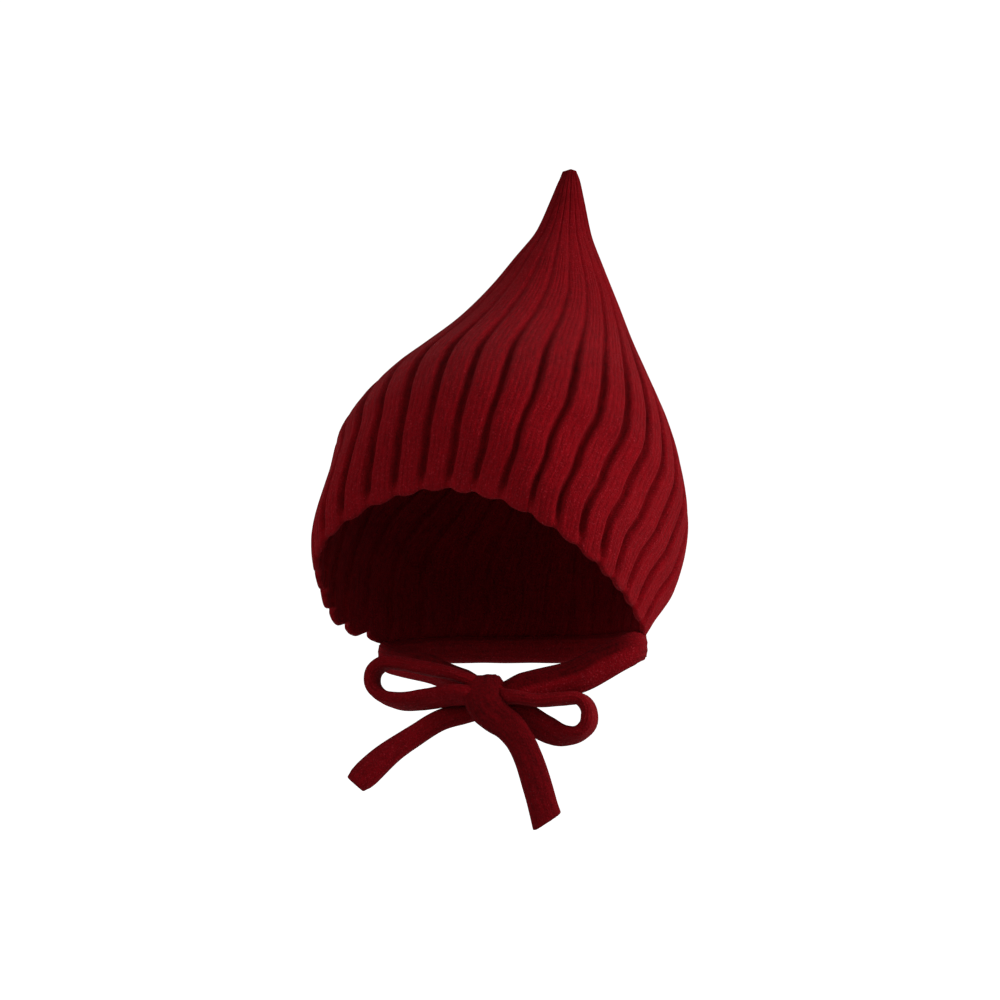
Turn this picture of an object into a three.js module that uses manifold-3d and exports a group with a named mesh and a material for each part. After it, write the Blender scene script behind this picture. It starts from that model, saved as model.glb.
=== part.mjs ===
// A baby's pointed bonnet in rib knit, with a knitted band round the neck edge whose ends are tied
// in a bow under the chin. Millimetres, +Z up, the face looks towards -Y and +X is the wearer's left.
// The origin is where the crown of the head sits inside the hat.
import * as THREE from 'three';
import { mergeVertices } from 'three/addons/utils/BufferGeometryUtils.js';
import Module from 'manifold-3d';

const wasm = await Module();
wasm.setup();

// Driving sizes of the knit
const ribCount = 35;
const ribShift = -0.17; // of the groove next to the forehead's middle, as a share of the pitch
const wall = 4.0; // wall through a rib's ridge, as thick as the knit is
const edgeWall = 2.6; // wall at the face and neck edge
const grooveDepth = 2.4;
const grooveHalf = 0.18; // half of a groove's width, as a share of the rib's pitch
const scallop = 1.4; // how far the edge draws back where a groove meets it
const edgeBand = 8; // depth of the flatter edging below the grooves
const edgeGroove = 0.4; // share of a groove's depth that is left at the very edge
const tieWidth = 10.5;
const tieThickness = 5.2;
const seatGap = 0.35; // clearance between neighbouring pieces
const strapGap = 0.7; // between the band and a strap, measured along the tube
const bandSeat = -1.25; // drop of the band below the neck edge; below zero it is tucked up behind it
const bandInset = 3.9; // from the hat's outer form in to the middle of the band

// Rings from the neck up to the point. Each passes through a front and a back place in the middle
// plane. turn is how far the ribs have swung round at that ring, in degrees, and spread is how much
// wider than even they stand in front there, and closer at the back.
const rings = table('frontY frontZ backY backZ halfWidth turn spread', [
  [-73, -96, 14, -156, 64, -2.8, -0.26],
  [-76, -66, 34, -142, 69.5, -2.8, -0.19],
  [-76, -45, 53, -123, 72.5, -0.6, -0.08],
  [-70.5, -27.5, 65, -100, 73, 0, 0.02],
  [-57, -13.5, 69, -74, 68, -2.3, 0.14],
  [-41, -3, 69, -48, 59.5, -5.5, 0.27],
  [-24, 6, 68, -24, 49, -7.5, 0.42],
  [-6, 16.5, 69.5, -2, 38, -8, 0.58],
  [10.5, 28.5, 70.5, 19, 28.5, -7.5, 0.68],
  [25.5, 42, 70, 37.5, 19.5, -7, 0.7],
  [40, 55.5, 69.5, 54, 11.2, -7, 0.7],
  [49, 68, 68.5, 68, 7.1, -7, 0.7],
  [55, 77.5, 67.5, 78.5, 4.4, -7, 0.7],
  [58.5, 82.5, 65, 83.5, 2.8, -7, 0.7],
]);
const topRing = rings.frontY.length - 1;
const squareness = 0.05; // how far a ring is squarer than an ellipse, at the neck
const roundFromRing = 9; // from here up the rings are plain ellipses
const tipRise = 1; // height of the rounded tip above the last ring

// The edge of the hat from the forehead (angle 0) by the corner at the jaw to the nape (180)
const edge = table('angle x y z', [
  [0, 0, -75, -66.5],
  [15, 21, -76, -70],
  [30, 43, -75, -79.5],
  [44, 57.7, -68, -90.5],
  [57, 64.2, -54.5, -100],
  [70, 65.2, -40, -107],
  [80, 64.4, -28, -112],
  [90, 63, -17, -117],
  [98, 61.7, -9, -121],
  [105, 60, -2, -123.5],
  [115, 55, 9, -123],
  [125, 48, 21, -121.5],
  [140, 38, 37, -121],
  [155, 26, 50, -121],
  [168, 14, 57, -121],
  [180, 0, 60, -121],
]);
const edgeReach = 2.2; // how many rings up the edge's own form still shows
const cornerAngle = 104;

// The edge hangs further forward and down at the wearer's right cheek, between two angles
const cheekFrom = 52;
const cheekTo = 110;
const cheekHang = new THREE.Vector3(-2, -5.4, -6);

// How deep the grooves are by ring, as a share of grooveDepth: they die out where the crown tapers
const grooves = table('ring share', [
  [0, 1],
  [5, 1],
  [7, 0.55],
  [9, 0],
  [topRing, 0],
]);

// Rows of points up each rib, as a share of the way from the edge to the top
const ribRows = [0, 0.02, 0.06, 0.12, 0.19, 0.26, 0.33, 0.4, 0.47, 0.54, 0.61];
const tipRows = [0.68, 0.75, 0.82, 0.88, 0.94, 1];
const innerRows = [0, 0.04, 0.12, 0.22, 0.32, 0.42, 0.52, 0.61, 0.7, 0.78, 0.84];

// Routes of the ties, places chosen along their middle line
const strapLeft = [
  [57, -8.8, -129.2],
  [53, -12, -131.7],
  [45, -14.5, -136],
  [36.5, -17, -140.5],
  [26, -20, -143.5],
  [16.5, -24, -145.8],
  [9, -27.5, -147.3],
];
const strapRight = [
  [-57, -8.8, -129],
  [-52.8, -12.5, -130.8],
  [-44.2, -15.5, -133],
  [-31, -18, -135.5],
  [-21, -22, -139],
  [-12, -26, -142],
  [-4.5, -28.5, -144],
  [1, -29.5, -145.5],
];
const knotPlace = [4.6, -33.5, -150.5];
const knotHalf = [8.5, 7, 8.5];
const knotSides = 14; // round its upright axis
const knotRows = 10;
const loopLeft = [
  [8, -36, -148],
  [16.5, -35.5, -148.5],
  [25, -33, -150],
  [33.5, -29.5, -149.5],
  [40, -26, -149.5],
  [42.5, -23, -153],
  [42, -21, -159.5],
  [38, -22, -163.5],
  [31.5, -24, -164],
  [24.5, -26, -161],
  [17.5, -28, -156.5],
  [11.5, -30, -154],
  [7, -31, -153],
];
const loopRight = [
  [3, -35, -145],
  [-2.5, -38, -141.5],
  [-10.5, -41, -138.3],
  [-21.5, -42, -136],
  [-31, -43, -134],
  [-39, -43.5, -133.5],
  [-43.5, -44.5, -137],
  [-43.5, -45.5, -142.5],
  [-39, -46, -147],
  [-31, -45.5, -149.4],
  [-18, -44.5, -148.6],
  [-8, -43.5, -147.2],
  [-1, -41.5, -147.6],
  [4, -38.5, -148.7],
];
const tailLeft = [
  [8.5, -35.5, -154],
  [12.5, -38.5, -158],
  [18, -38.5, -164.5],
  [22.5, -36.5, -174],
  [25.5, -33, -185],
  [28, -30, -198.5],
];
const tailRight = [
  [2, -31, -153],
  [-3, -32.5, -154],
  [-9, -35.5, -155],
  [-15.5, -41, -157.5],
  [-23.5, -47.5, -163.5],
  [-33, -53.5, -171],
  [-44, -60, -182.5],
];
const tieSides = 10;
const tieSquareness = 2.6; // exponent of the tube's flattened section
const stepLength = 5;
const pinchedWidth = 0.6; // share of the width that is left where the knot gathers a tie
const pinchReach = 12;

const knitColour = 0x7a0a12;

function table(names, rows) {
  return Object.fromEntries(names.split(' ').map((name, k) => [name, rows.map((row) => row[k])]));
}

// A smooth curve through the rows that never overshoots them
function monotone(xs, ys) {
  const last = xs.length - 1;
  const step = xs.slice(1).map((x, i) => x - xs[i]);
  const slope = step.map((h, i) => (ys[i + 1] - ys[i]) / h);
  const tangent = ys.map((_, i) => {
    if (i === 0) return slope[0];
    if (i === last) return slope[last - 1];
    if (slope[i - 1] * slope[i] <= 0) return 0;
    const before = 2 * step[i] + step[i - 1];
    const after = step[i] + 2 * step[i - 1];
    return (before + after) / (before / slope[i - 1] + after / slope[i]);
  });
  return (x) => {
    let i = xs.findIndex((value) => value > x) - 1;
    if (i < 0) i = x >= xs[last] ? last - 1 : 0;
    const t = (x - xs[i]) / step[i];
    const rise = ys[i + 1] - ys[i];
    const bend = (1 - t) * (tangent[i] * step[i] - rise) - t * (tangent[i + 1] * step[i] - rise);
    return ys[i] + t * rise + t * (1 - t) * bend;
  };
}

const ringNumbers = rings.frontY.map((_, i) => i);
const ringColumn = Object.fromEntries(
  Object.entries(rings).map(([name, values]) => [name, monotone(ringNumbers, values)]),
);
const grooveShare = monotone(grooves.ring, grooves.share);

// The edge table serves both sides: the wearer's right is its mirror image
const bothSides = (values, sign) => [...values.slice(1).reverse().map((v) => sign * v), ...values];
const edgeAngles = bothSides(edge.angle, -1);
const edgeX = monotone(edgeAngles, bothSides(edge.x, -1));
const edgeY = monotone(edgeAngles, bothSides(edge.y, 1));
const edgeZ = monotone(edgeAngles, bothSides(edge.z, 1));

function wrapped(angle) {
  return ((((angle + 180) % 360) + 360) % 360) - 180;
}

function edgePoint(angle) {
  const a = wrapped(angle);
  const share = THREE.MathUtils.clamp((-a - cheekFrom) / (cheekTo - cheekFrom), 0, 1);
  const hanging = Math.sin(Math.PI * share) ** 2;
  return new THREE.Vector3(edgeX(a), edgeY(a), edgeZ(a)).addScaledVector(cheekHang, hanging);
}

function ringPoint(angle, ring) {
  const at = Object.fromEntries(Object.entries(ringColumn).map(([name, f]) => [name, f(ring)]));
  const u = THREE.MathUtils.degToRad(angle);
  const low = THREE.MathUtils.clamp(1 - ring / roundFromRing, 0, 1);
  const square = 1 + squareness * low * Math.sin(2 * u) ** 2;
  const c = Math.cos(u) * square;
  return new THREE.Vector3(
    at.halfWidth * Math.sin(u) * square,
    (at.frontY + at.backY) / 2 + ((at.frontY - at.backY) / 2) * c,
    (at.frontZ + at.backZ) / 2 + ((at.frontZ - at.backZ) / 2) * c,
  );
}

// Where a rib stands on a ring. A rib goes by its angle on the widest ring, where they are even.
function ringAngle(rib, ring) {
  const spread = ringColumn.spread(ring) * Math.sin(THREE.MathUtils.degToRad(rib));
  return rib + ringColumn.turn(ring) + THREE.MathUtils.radToDeg(spread);
}

// The ring at which a rib reaches the height of the edge, found by halving the stretch it lies in
function firstRing(rib) {
  const halvings = 40;
  let low = 0;
  let high = topRing / 2;
  for (let i = 0; i < halvings; i += 1) {
    const middle = (low + high) / 2;
    const angle = ringAngle(rib, middle);
    if (ringPoint(angle, middle).z < edgePoint(angle).z) low = middle;
    else high = middle;
  }
  return low;
}

// A point of the hat's outer form, up a rib
function formPoint(rib, ring) {
  const first = firstRing(rib);
  const t = THREE.MathUtils.clamp((ring - first) / edgeReach, 0, 1);
  const weight = (1 - t) ** 2 * (1 + 2 * t);
  const angle = ringAngle(rib, first);
  const offset = edgePoint(angle).sub(ringPoint(angle, first));
  return ringPoint(ringAngle(rib, ring), ring).addScaledVector(offset, weight);
}

function formNormal(rib, ring) {
  const degrees = 1;
  const rise = 0.02;
  const across = formPoint(rib + degrees, ring).sub(formPoint(rib - degrees, ring));
  const above = Math.min(ring + rise, topRing);
  const up = formPoint(rib, above).sub(formPoint(rib, above - 2 * rise));
  return across.cross(up).normalize();
}

function belowForm(rib, ring, depth) {
  return formPoint(rib, ring).addScaledVector(formNormal(rib, ring), -depth);
}

// A closed skin made of loops of points, each loop joined to the next
class Skin {
  constructor() {
    this.points = [];
    this.faces = [];
  }

  loop(points, phases) {
    const start = this.points.length;
    this.points.push(...points);
    return { start, count: points.length, phases };
  }

  face(a, b, c, flip) {
    this.faces.push(...(flip ? [a, c, b] : [a, b, c]));
  }

  join(lower, upper, flip = false) {
    let i = 0;
    let j = 0;
    const at = (loop, k) => loop.start + (k % loop.count);
    const phase = (loop, k) => loop.phases[k % loop.count] + Math.floor(k / loop.count);
    while (i < lower.count || j < upper.count) {
      const next = j >= upper.count || (i < lower.count && phase(lower, i + 1) <= phase(upper, j + 1));
      if (next) {
        this.face(at(lower, i), at(lower, i + 1), at(upper, j), flip);
        i += 1;
      } else {
        this.face(at(lower, i), at(upper, j + 1), at(upper, j), flip);
        j += 1;
      }
    }
  }

  cap(loop, point, flip = false) {
    const centre = this.points.push(point) - 1;
    for (let k = 0; k < loop.count; k += 1) {
      this.face(loop.start + k, loop.start + ((k + 1) % loop.count), centre, flip);
    }
  }

  geometry() {
    const geometry = new THREE.BufferGeometry().setFromPoints(this.points);
    geometry.setIndex(this.faces);
    return geometry;
  }
}

function average(points) {
  return points.reduce((sum, p) => sum.add(p), new THREE.Vector3()).divideScalar(points.length);
}

// The ribbed shell of the hat, one closed solid that is open at the face and the neck
function bonnetGeometry() {
  const skin = new Skin();
  const pitch = 360 / ribCount;
  const ribs = Array.from({ length: ribCount }, (_, k) => k);
  const corners = ribs.flatMap((k) => [k, k + grooveHalf, k + 1 - grooveHalf]);
  const isGroove = (corner) => Number.isInteger(corner);
  const phasesOf = (values) => values.map((value) => value / ribCount);
  const angleOf = (corner) => (corner + ribShift) * pitch;
  const ringAt = (rib, share) => firstRing(rib) + (topRing - firstRing(rib)) * share;
  const ringSpacing = 21; // millimetres from one ring to the next near the edge

  const outerPoint = (corner, share) => {
    const rib = angleOf(corner);
    const ring = ringAt(rib, share);
    const above = (ring - firstRing(rib)) * ringSpacing;
    const drawnBack = isGroove(corner) ? (scallop / ringSpacing) * Math.max(0, 1 - above / edgeBand) : 0;
    const cut = THREE.MathUtils.lerp(edgeGroove, 1, Math.min(1, above / edgeBand));
    const sunk = isGroove(corner) ? grooveDepth * grooveShare(ring) * cut : 0;
    return belowForm(rib, ring + drawnBack, sunk);
  };
  const innerPoint = (corner, share) => {
    const rib = angleOf(corner);
    const ring = ringAt(rib, share);
    const above = (ring - firstRing(rib)) * ringSpacing;
    return belowForm(rib, ring, THREE.MathUtils.lerp(edgeWall, wall, Math.min(1, above / edgeBand)));
  };

  const ribLoops = ribRows.map((share) =>
    skin.loop(corners.map((corner) => outerPoint(corner, share)), phasesOf(corners)),
  );
  const tipLoops = tipRows.map((share) => skin.loop(ribs.map((k) => outerPoint(k, share)), phasesOf(ribs)));
  const outer = [...ribLoops, ...tipLoops];
  outer.slice(1).forEach((upper, k) => skin.join(outer[k], upper));
  const tip = average(ribs.map((k) => formPoint(angleOf(k), topRing)));
  skin.cap(outer.at(-1), tip.add(new THREE.Vector3(0, 0, tipRise)));

  const inner = innerRows.map((share) =>
    skin.loop(ribs.map((k) => innerPoint(k + 0.5, share)), phasesOf(ribs.map((k) => k + 0.5))),
  );
  inner.slice(1).forEach((upper, k) => skin.join(inner[k], upper, true));
  skin.cap(inner.at(-1), average(ribs.map((k) => innerPoint(k, innerRows.at(-1)))), true);
  skin.join(outer[0], inner[0], true);
  return skin.geometry();
}

// A flattened knitted tube along a stretch of a curve. wideStart and wideEnd say which way its
// width lies at its two ends, and gathered says which of them the knot pinches.
function tubeGeometry({ curve, from, to, wideStart, wideEnd, gathered = [false, false] }) {
  const length = curve.getLength() * (to - from);
  const steps = Math.ceil(length / stepLength);
  const skin = new Skin();
  const sides = Array.from({ length: tieSides }, (_, k) => k);
  const power = (value) => Math.sign(value) * Math.abs(value) ** (2 / tieSquareness);
  const loops = [];
  for (let k = 0; k <= steps; k += 1) {
    const share = k / steps;
    const centre = curve.getPointAt(from + (to - from) * share);
    const along = curve.getTangentAt(from + (to - from) * share);
    const wide = new THREE.Vector3(...wideStart).lerp(new THREE.Vector3(...wideEnd), share);
    wide.addScaledVector(along, -wide.dot(along)).normalize();
    const thick = along.clone().cross(wide);
    const fromStart = gathered[0] ? share * length : length;
    const fromEnd = gathered[1] ? (1 - share) * length : length;
    const fromKnot = Math.min(fromStart, fromEnd);
    const open = THREE.MathUtils.smoothstep(fromKnot, 0, pinchReach);
    const halfWidth = (tieWidth / 2) * THREE.MathUtils.lerp(pinchedWidth, 1, open);
    const section = sides.map((side) => {
      const a = (side / tieSides) * 2 * Math.PI;
      return centre
        .clone()
        .addScaledVector(wide, halfWidth * power(Math.cos(a)))
        .addScaledVector(thick, (tieThickness / 2) * power(Math.sin(a)));
    });
    loops.push(skin.loop(section, sides.map((side) => side / tieSides)));
  }
  loops.slice(1).forEach((next, k) => skin.join(loops[k], next));
  skin.cap(loops[0], curve.getPointAt(from), true);
  skin.cap(loops.at(-1), curve.getPointAt(to));
  return skin.geometry();
}

function curveThrough(points) {
  return new THREE.CatmullRomCurve3(points.map((p) => new THREE.Vector3(...p)), false, 'centripetal');
}

// Middle line of the band: just under the neck edge and inside the hat's outer form, from the right
// corner by the nape to the left
function bandPoints() {
  const drop = tieWidth / 2 + bandSeat;
  const steps = 16;
  const degrees = 1;
  return Array.from({ length: steps + 1 }, (_, k) => {
    const angle = THREE.MathUtils.lerp(360 - cornerAngle, cornerAngle, k / steps);
    const along = edgePoint(angle + degrees).sub(edgePoint(angle - degrees));
    const outward = along.cross(new THREE.Vector3(0, 0, 1)).normalize();
    const middle = edgePoint(angle).addScaledVector(outward, -bandInset);
    return [middle.x, middle.y, middle.z - drop];
  });
}

function knotGeometry(extra = 0) {
  const geometry = new THREE.SphereGeometry(1, knotSides, knotRows);
  geometry.scale(...knotHalf.map((half) => half + extra));
  geometry.translate(...knotPlace);
  return geometry;
}

function toSolid(geometry) {
  const bare = geometry.clone();
  bare.deleteAttribute('normal');
  bare.deleteAttribute('uv');
  const merged = mergeVertices(bare);
  return new wasm.Manifold(
    new wasm.Mesh({
      numProp: 3,
      vertProperties: new Float32Array(merged.attributes.position.array),
      triVerts: new Uint32Array(merged.index.array),
    }),
  );
}

function toGeometry(solid) {
  const mesh = solid.getMesh();
  const geometry = new THREE.BufferGeometry();
  geometry.setAttribute('position', new THREE.BufferAttribute(mesh.vertProperties, 3));
  geometry.setIndex(new THREE.BufferAttribute(mesh.triVerts, 1));
  return geometry;
}

const hat = new THREE.Group();

function add(name, geometry) {
  const material = new THREE.MeshStandardMaterial({ color: knitColour, roughness: 0.95, metalness: 0 });
  const mesh = new THREE.Mesh(geometry, material);
  mesh.name = name;
  hat.add(mesh);
}

// The band and the two straps are one closed route round the neck, cut where the straps begin
const band = bandPoints();
const neckLoop = curveThrough([...strapRight.toReversed(), ...band, ...strapLeft]);
const loopLength = neckLoop.getLength();
const shareAt = (point) => {
  const target = new THREE.Vector3(...point);
  const away = (share) => neckLoop.getPointAt(share).distanceTo(target);
  const tries = 2000;
  const shares = Array.from({ length: tries + 1 }, (_, k) => k / tries);
  return shares.reduce((best, share) => (away(share) < away(best) ? share : best), 0);
};
const rightCorner = shareAt(band[0]);
const leftCorner = shareAt(band.at(-1));
const halfGap = strapGap / 2 / loopLength;
const upright = [0, 0, 1];
const towardsFace = [0.42, -0.9, 0];
const alongLoop = (from, to) => ({ curve: neckLoop, from, to, wideStart: upright, wideEnd: upright });
const whole = (route, wideStart, wideEnd) => (
  { curve: curveThrough(route), from: 0, to: 1, wideStart, wideEnd }
);

add('bonnet', bonnetGeometry());
add('neck_band', tubeGeometry(alongLoop(rightCorner + halfGap, leftCorner - halfGap)));
add('bow_knot', knotGeometry());

// The straps, loops and tails end inside the knot, which takes its own room out of them
const ties = {
  strap_right: { ...alongLoop(0, rightCorner - halfGap), gathered: [true, false] },
  strap_left: { ...alongLoop(leftCorner + halfGap, 1), gathered: [false, true] },
  bow_loop_right: { ...whole(loopRight, towardsFace, [0.25, -0.8, 0.3]), gathered: [true, true] },
  bow_loop_left: { ...whole(loopLeft, towardsFace, [0.1, -0.35, 0.9]), gathered: [true, true] },
  tail_right: { ...whole(tailRight, [-0.3, 0.3, 0.9], [-0.4, 0.2, 0.9]), gathered: [true, false] },
  tail_left: { ...whole(tailLeft, [0.9, 0.4, 0.2], [0.9, 0.4, 0.2]), gathered: [true, false] },
};
const knotRoom = toSolid(knotGeometry(seatGap));
Object.entries(ties).forEach(([name, tie]) => {
  add(name, toGeometry(toSolid(tubeGeometry(tie)).subtract(knotRoom)));
});

export default hat;
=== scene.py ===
import math

import bpy
import numpy as np
from mathutils import Matrix, Vector


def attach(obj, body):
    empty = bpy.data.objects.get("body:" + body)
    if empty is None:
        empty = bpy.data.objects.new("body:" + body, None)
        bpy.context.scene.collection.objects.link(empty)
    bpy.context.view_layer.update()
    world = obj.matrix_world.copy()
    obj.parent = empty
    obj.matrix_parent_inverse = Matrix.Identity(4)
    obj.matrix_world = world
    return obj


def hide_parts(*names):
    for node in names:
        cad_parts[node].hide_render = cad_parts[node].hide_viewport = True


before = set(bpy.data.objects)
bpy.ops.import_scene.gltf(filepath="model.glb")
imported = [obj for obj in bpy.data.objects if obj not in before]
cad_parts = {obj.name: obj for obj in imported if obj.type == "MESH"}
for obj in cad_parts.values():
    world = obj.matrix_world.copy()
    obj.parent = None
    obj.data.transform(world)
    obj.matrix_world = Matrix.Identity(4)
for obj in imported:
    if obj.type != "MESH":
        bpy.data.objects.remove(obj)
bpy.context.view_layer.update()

MM = 0.001
RNG = np.random.default_rng(7)

# Driving sizes of the shell in millimetres, the same as the CAD model's
RIB_COUNT = 35
RIB_SHIFT = -0.17  # of the groove next to the forehead's middle, as a share of the pitch
PITCH = 360 / RIB_COUNT
EDGE_WALL = 2.6
SCALLOP = 1.4  # how far the edge draws back where a groove meets it
CORNER_ANGLE = 104
RING_SPACING = 21
EDGE_REACH = 2.2  # how many rings up the edge's own form still shows
SQUARENESS = 0.05
ROUND_FROM_RING = 9
TIP_RISE = 1.0
HALVINGS = 40  # in the search for the edge along a rib

# The edge hangs further forward and down at the wearer's right cheek, between two angles
CHEEK_FROM = 52
CHEEK_TO = 110
CHEEK_HANG = np.array([-2.0, -5.4, -6.0])

# The rib's section: depths below the outer form, and widths as a share of the rib's pitch
GROOVE_DEPTH = 3.3
GROOVE_FLOOR = 0.02
RIDGE_SHOULDER = 0.19
RIDGE_CROWN = 0.11
INSIDE_RIDGE = 3.2  # wall through a ridge
GROOVE_WALL = 1.5  # wall through a groove's floor
RIB_UNEVENNESS = 0.22
UNEVEN_LENGTH = 17
UNEVEN_SHIFT = 2.4  # from one rib to the next, in radians

# The edge: how deep the grooves still are there, as a share of their depth, and how it is scalloped
FRONT_GROOVE = 0.3
CHEEK_GROOVE = 0.85
CHEEK_SCALLOP = 1.0  # more than at the forehead
SCALLOP_POWER = 1.5
LEFT_CHEEK = 0.35  # share of the cheek's relief that the wearer's left has
NECK_TUCK = 1.6  # how far the neck edge reaches into the band
CHEEK_ANGLES = (45, 75)  # from the front, in degrees: where the cheek begins and where it is full
NECK_ANGLES = (CORNER_ANGLE - 6, CORNER_ANGLE + 4)

# Heights above the edge over which the small relief and the grooves come up and the scallops die away
RELIEF_FADE = 5.5
GROOVE_FADE = 8.25
LIFT_FADE = 8.8

# Points across a rib on fine, middle and coarse rows, and the rows up a rib as shares of its length
FINE, MIDDLE, COARSE = 32, 16, 8
INNER_ROWS = [(COARSE, (0.84, 0.78, 0.7)), (MIDDLE, np.linspace(0.62, 0.004, 60))]
ROLLED_TURNS = (0.97, 0.8, 0.65, 0.5, 0.35, 0.2, 0.08)
OUTER_ROWS = [
    (FINE, np.linspace(0.003, 0.06, 14)), (FINE, np.linspace(0.07, 0.66, 84)),
    (MIDDLE, np.linspace(0.665, 0.86, 36)), (COARSE, np.linspace(0.865, 1, 30)),
]

# The sectors of the shell, by the grooves that they run between
SECTORS = {"front": (-5, 5), "left": (5, 13), "back": (13, 22), "right": (22, 30)}

# Knit stitches
WALES_PER_RIB = 6
WALE_RELIEF = 0.11
ROW_HEIGHT = 1.5
# Painted shade on the inner face of the hat
INSIDE_SHADE = 0.55

# The ties: a knitted tube, pressed flat
TIE_WIDTH = 11.4
TIE_THICKNESS = 5.4
TIE_SQUARENESS = 2.6
TIE_SIDES = 36
TIE_WALES = 14
TIE_RELIEF = 0.13
TIE_STEP = 1.0
FINE_STEPS = 40  # between two places of a route, before it is cut into even steps
BAND_OVERLAP = 1.0
BAND_INSET = 2.6
BAND_STEPS = 16
PINCHED_WIDTH = 0.62
PINCHED_THICKNESS = 1.12
PINCH_REACH = 13
WIDTH_WAVE = 0.035
THICKNESS_WAVE = 0.06
SLANT_REACH = 6

# The fold along a strap: its crest and the crease above it, as shares of half the width
CREST_PLACE = -0.12
CREST_WIDTH = 0.6
CREASE_PLACE = 0.25
CREASE_WIDTH = 0.15
CREASE_DEPTH = 0.5  # as a share of the crest's height
# Painted shade on the fold's upper facet, painted light on its lower facet and a painted highlight along its
# crest: their spans across, the highlight's width and their strengths
UPPER_FACET = (-0.08, 0.2)
LOWER_FACET = (0, 0.3)
SHINE_WIDTH = 0.15
FOLD_SHADE = 1.3
LOWER_SHINE = 1.4
CREST_SHINE = 1.4
SHADED_RIDGE = 0.5  # height at which a fold takes its full painted shade and painted light

# The mouth of a cut tube: scale of the last ring, how far it is pushed out, and its painted shade
TUBE_MOUTH = [
    (0.97, 0.4, 0.0), (0.88, 0.7, 0.0), (0.76, 0.6, 0.2), (0.64, 0.0, 0.6),
    (0.56, -1.2, 1.0), (0.5, -3.0, 1.0),
]

# Slow unevenness along a tie: each wave's millimetres for a radian, and how far the seed shifts it
WAVES = ((6.1, 1.7), (3.7, 4.1), (11, 1))
WAVE_SUM = 2.2

# The inclined rings of the outer form, from the neck up to the point, and how the ribs lie on them
RINGS = dict(
    front_y=[-73, -76, -76, -70.5, -57, -41, -24, -6, 10.5, 25.5, 40, 49, 55, 58.5],
    front_z=[-96, -66, -45, -27.5, -13.5, -3, 6, 16.5, 28.5, 42, 55.5, 68, 77.5, 82.5],
    back_y=[14, 34, 53, 65, 69, 69, 68, 69.5, 70.5, 70, 69.5, 68.5, 67.5, 65],
    back_z=[-156, -142, -123, -100, -74, -48, -24, -2, 19, 37.5, 54, 68, 78.5, 83.5],
    half_width=[64, 69.5, 72.5, 73, 68, 59.5, 49, 38, 28.5, 19.5, 11.2, 7.1, 4.4, 2.8],
    turn=[-2.8, -2.8, -0.6, 0, -2.3, -5.5, -7.5, -8, -7.5, -7, -7, -7, -7, -7],
    spread=[-0.26, -0.19, -0.08, 0.02, 0.14, 0.27, 0.42, 0.58, 0.68, 0.7, 0.7, 0.7, 0.7, 0.7],
)
TOP_RING = len(RINGS["turn"]) - 1

# Places of the edge round the face and the neck, by their angle from the front
EDGE = dict(
    angle=[0, 15, 30, 44, 57, 70, 80, 90, 98, 105, 115, 125, 140, 155, 168, 180],
    x=[0, 21, 43, 57.7, 64.2, 65.2, 64.4, 63, 61.7, 60, 55, 48, 38, 26, 14, 0],
    y=[-75, -76, -75, -68, -54.5, -40, -28, -17, -9, -2, 9, 21, 37, 50, 57, 60],
    z=[-66.5, -70, -79.5, -90.5, -100, -107, -112, -117, -121, -123.5, -123, -121.5, -121, -121, -121, -121],
)

# Share of the grooves' depth that is left at each ring: they fade towards the point
GROOVE_SHARE = [(0, 1), (4, 1), (5, 0.78), (6, 0.46), (7.5, 0.25), (9, 0.17), (TOP_RING, 0.14)]

# Routes of the ties, places along their middle line. The left tail begins as the wrap over the knot.
STRAP_LEFT = [
    (57, -8.8, -129), (53, -12, -131.2), (45, -14.5, -135.3), (36.5, -17, -139.8), (26, -20, -142.8),
    (16.5, -24, -145.2), (9, -27.5, -147), (4.5, -30, -148),
]
STRAP_RIGHT = [
    (-57, -8.8, -129), (-52.8, -12.5, -130.8), (-44.2, -15.5, -133), (-31, -18, -135.5), (-21, -22, -139),
    (-12, -26, -142), (-4.5, -28.5, -144), (1, -29.5, -145.5),
]
LOOP_LEFT = [
    (8, -36, -148), (16.5, -35.5, -148.5), (25, -33, -150), (33.5, -29.5, -149.5), (40, -26, -149.5),
    (42.5, -23, -153), (42, -21, -159.5), (38, -22, -163.5), (31.5, -24, -164), (24.5, -26, -161),
    (17.5, -28, -156.5), (11.5, -30, -154), (7, -31, -153),
]
LOOP_RIGHT = [
    (3, -35, -145), (-2.5, -38, -141.5), (-10.5, -41, -138.3), (-21.5, -42, -136), (-31, -43, -134),
    (-39, -43.5, -133.5), (-43.5, -44.5, -137), (-43.5, -45.5, -142.5), (-39, -46, -147),
    (-31, -45.5, -149.4), (-18, -44.5, -148.6), (-8, -43.5, -147.2), (-1, -41.5, -147.6), (4, -38.5, -148.7),
]
TAIL_LEFT = [
    (1.5, -28.5, -147), (1.5, -32, -142.6), (2.5, -37.5, -142.2), (3.8, -41.5, -146), (5.5, -43, -151),
    (9.8, -42, -156), (15.4, -40, -160.5), (19.6, -38.5, -166.5), (22.4, -36.5, -174), (24.5, -33, -185),
    (27, -30, -198.5),
]
TAIL_RIGHT = [
    (2, -31, -153), (-3, -32.5, -154), (-9, -35.5, -155), (-15.5, -41, -157.5), (-23.5, -47.5, -163.5),
    (-33, -53.5, -171), (-44, -60, -182.5),
]
KNOT_PLACE = np.array([3.6, -34.0, -150.0])
KNOT_HALF = np.array([8.6, 7.0, 8.4])
KNOT_TURNS = 61
KNOT_CLIMBS = 33
KNOT_WALES = 24
KNOT_ROWS = 6
# Painted shade over the whole knot
KNOT_SHADE = 0.1
WIDE_FOLD = 0.07  # of three folds round the knot, as a share of its size
FINE_FOLD = 0.035  # of seven folds

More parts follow.
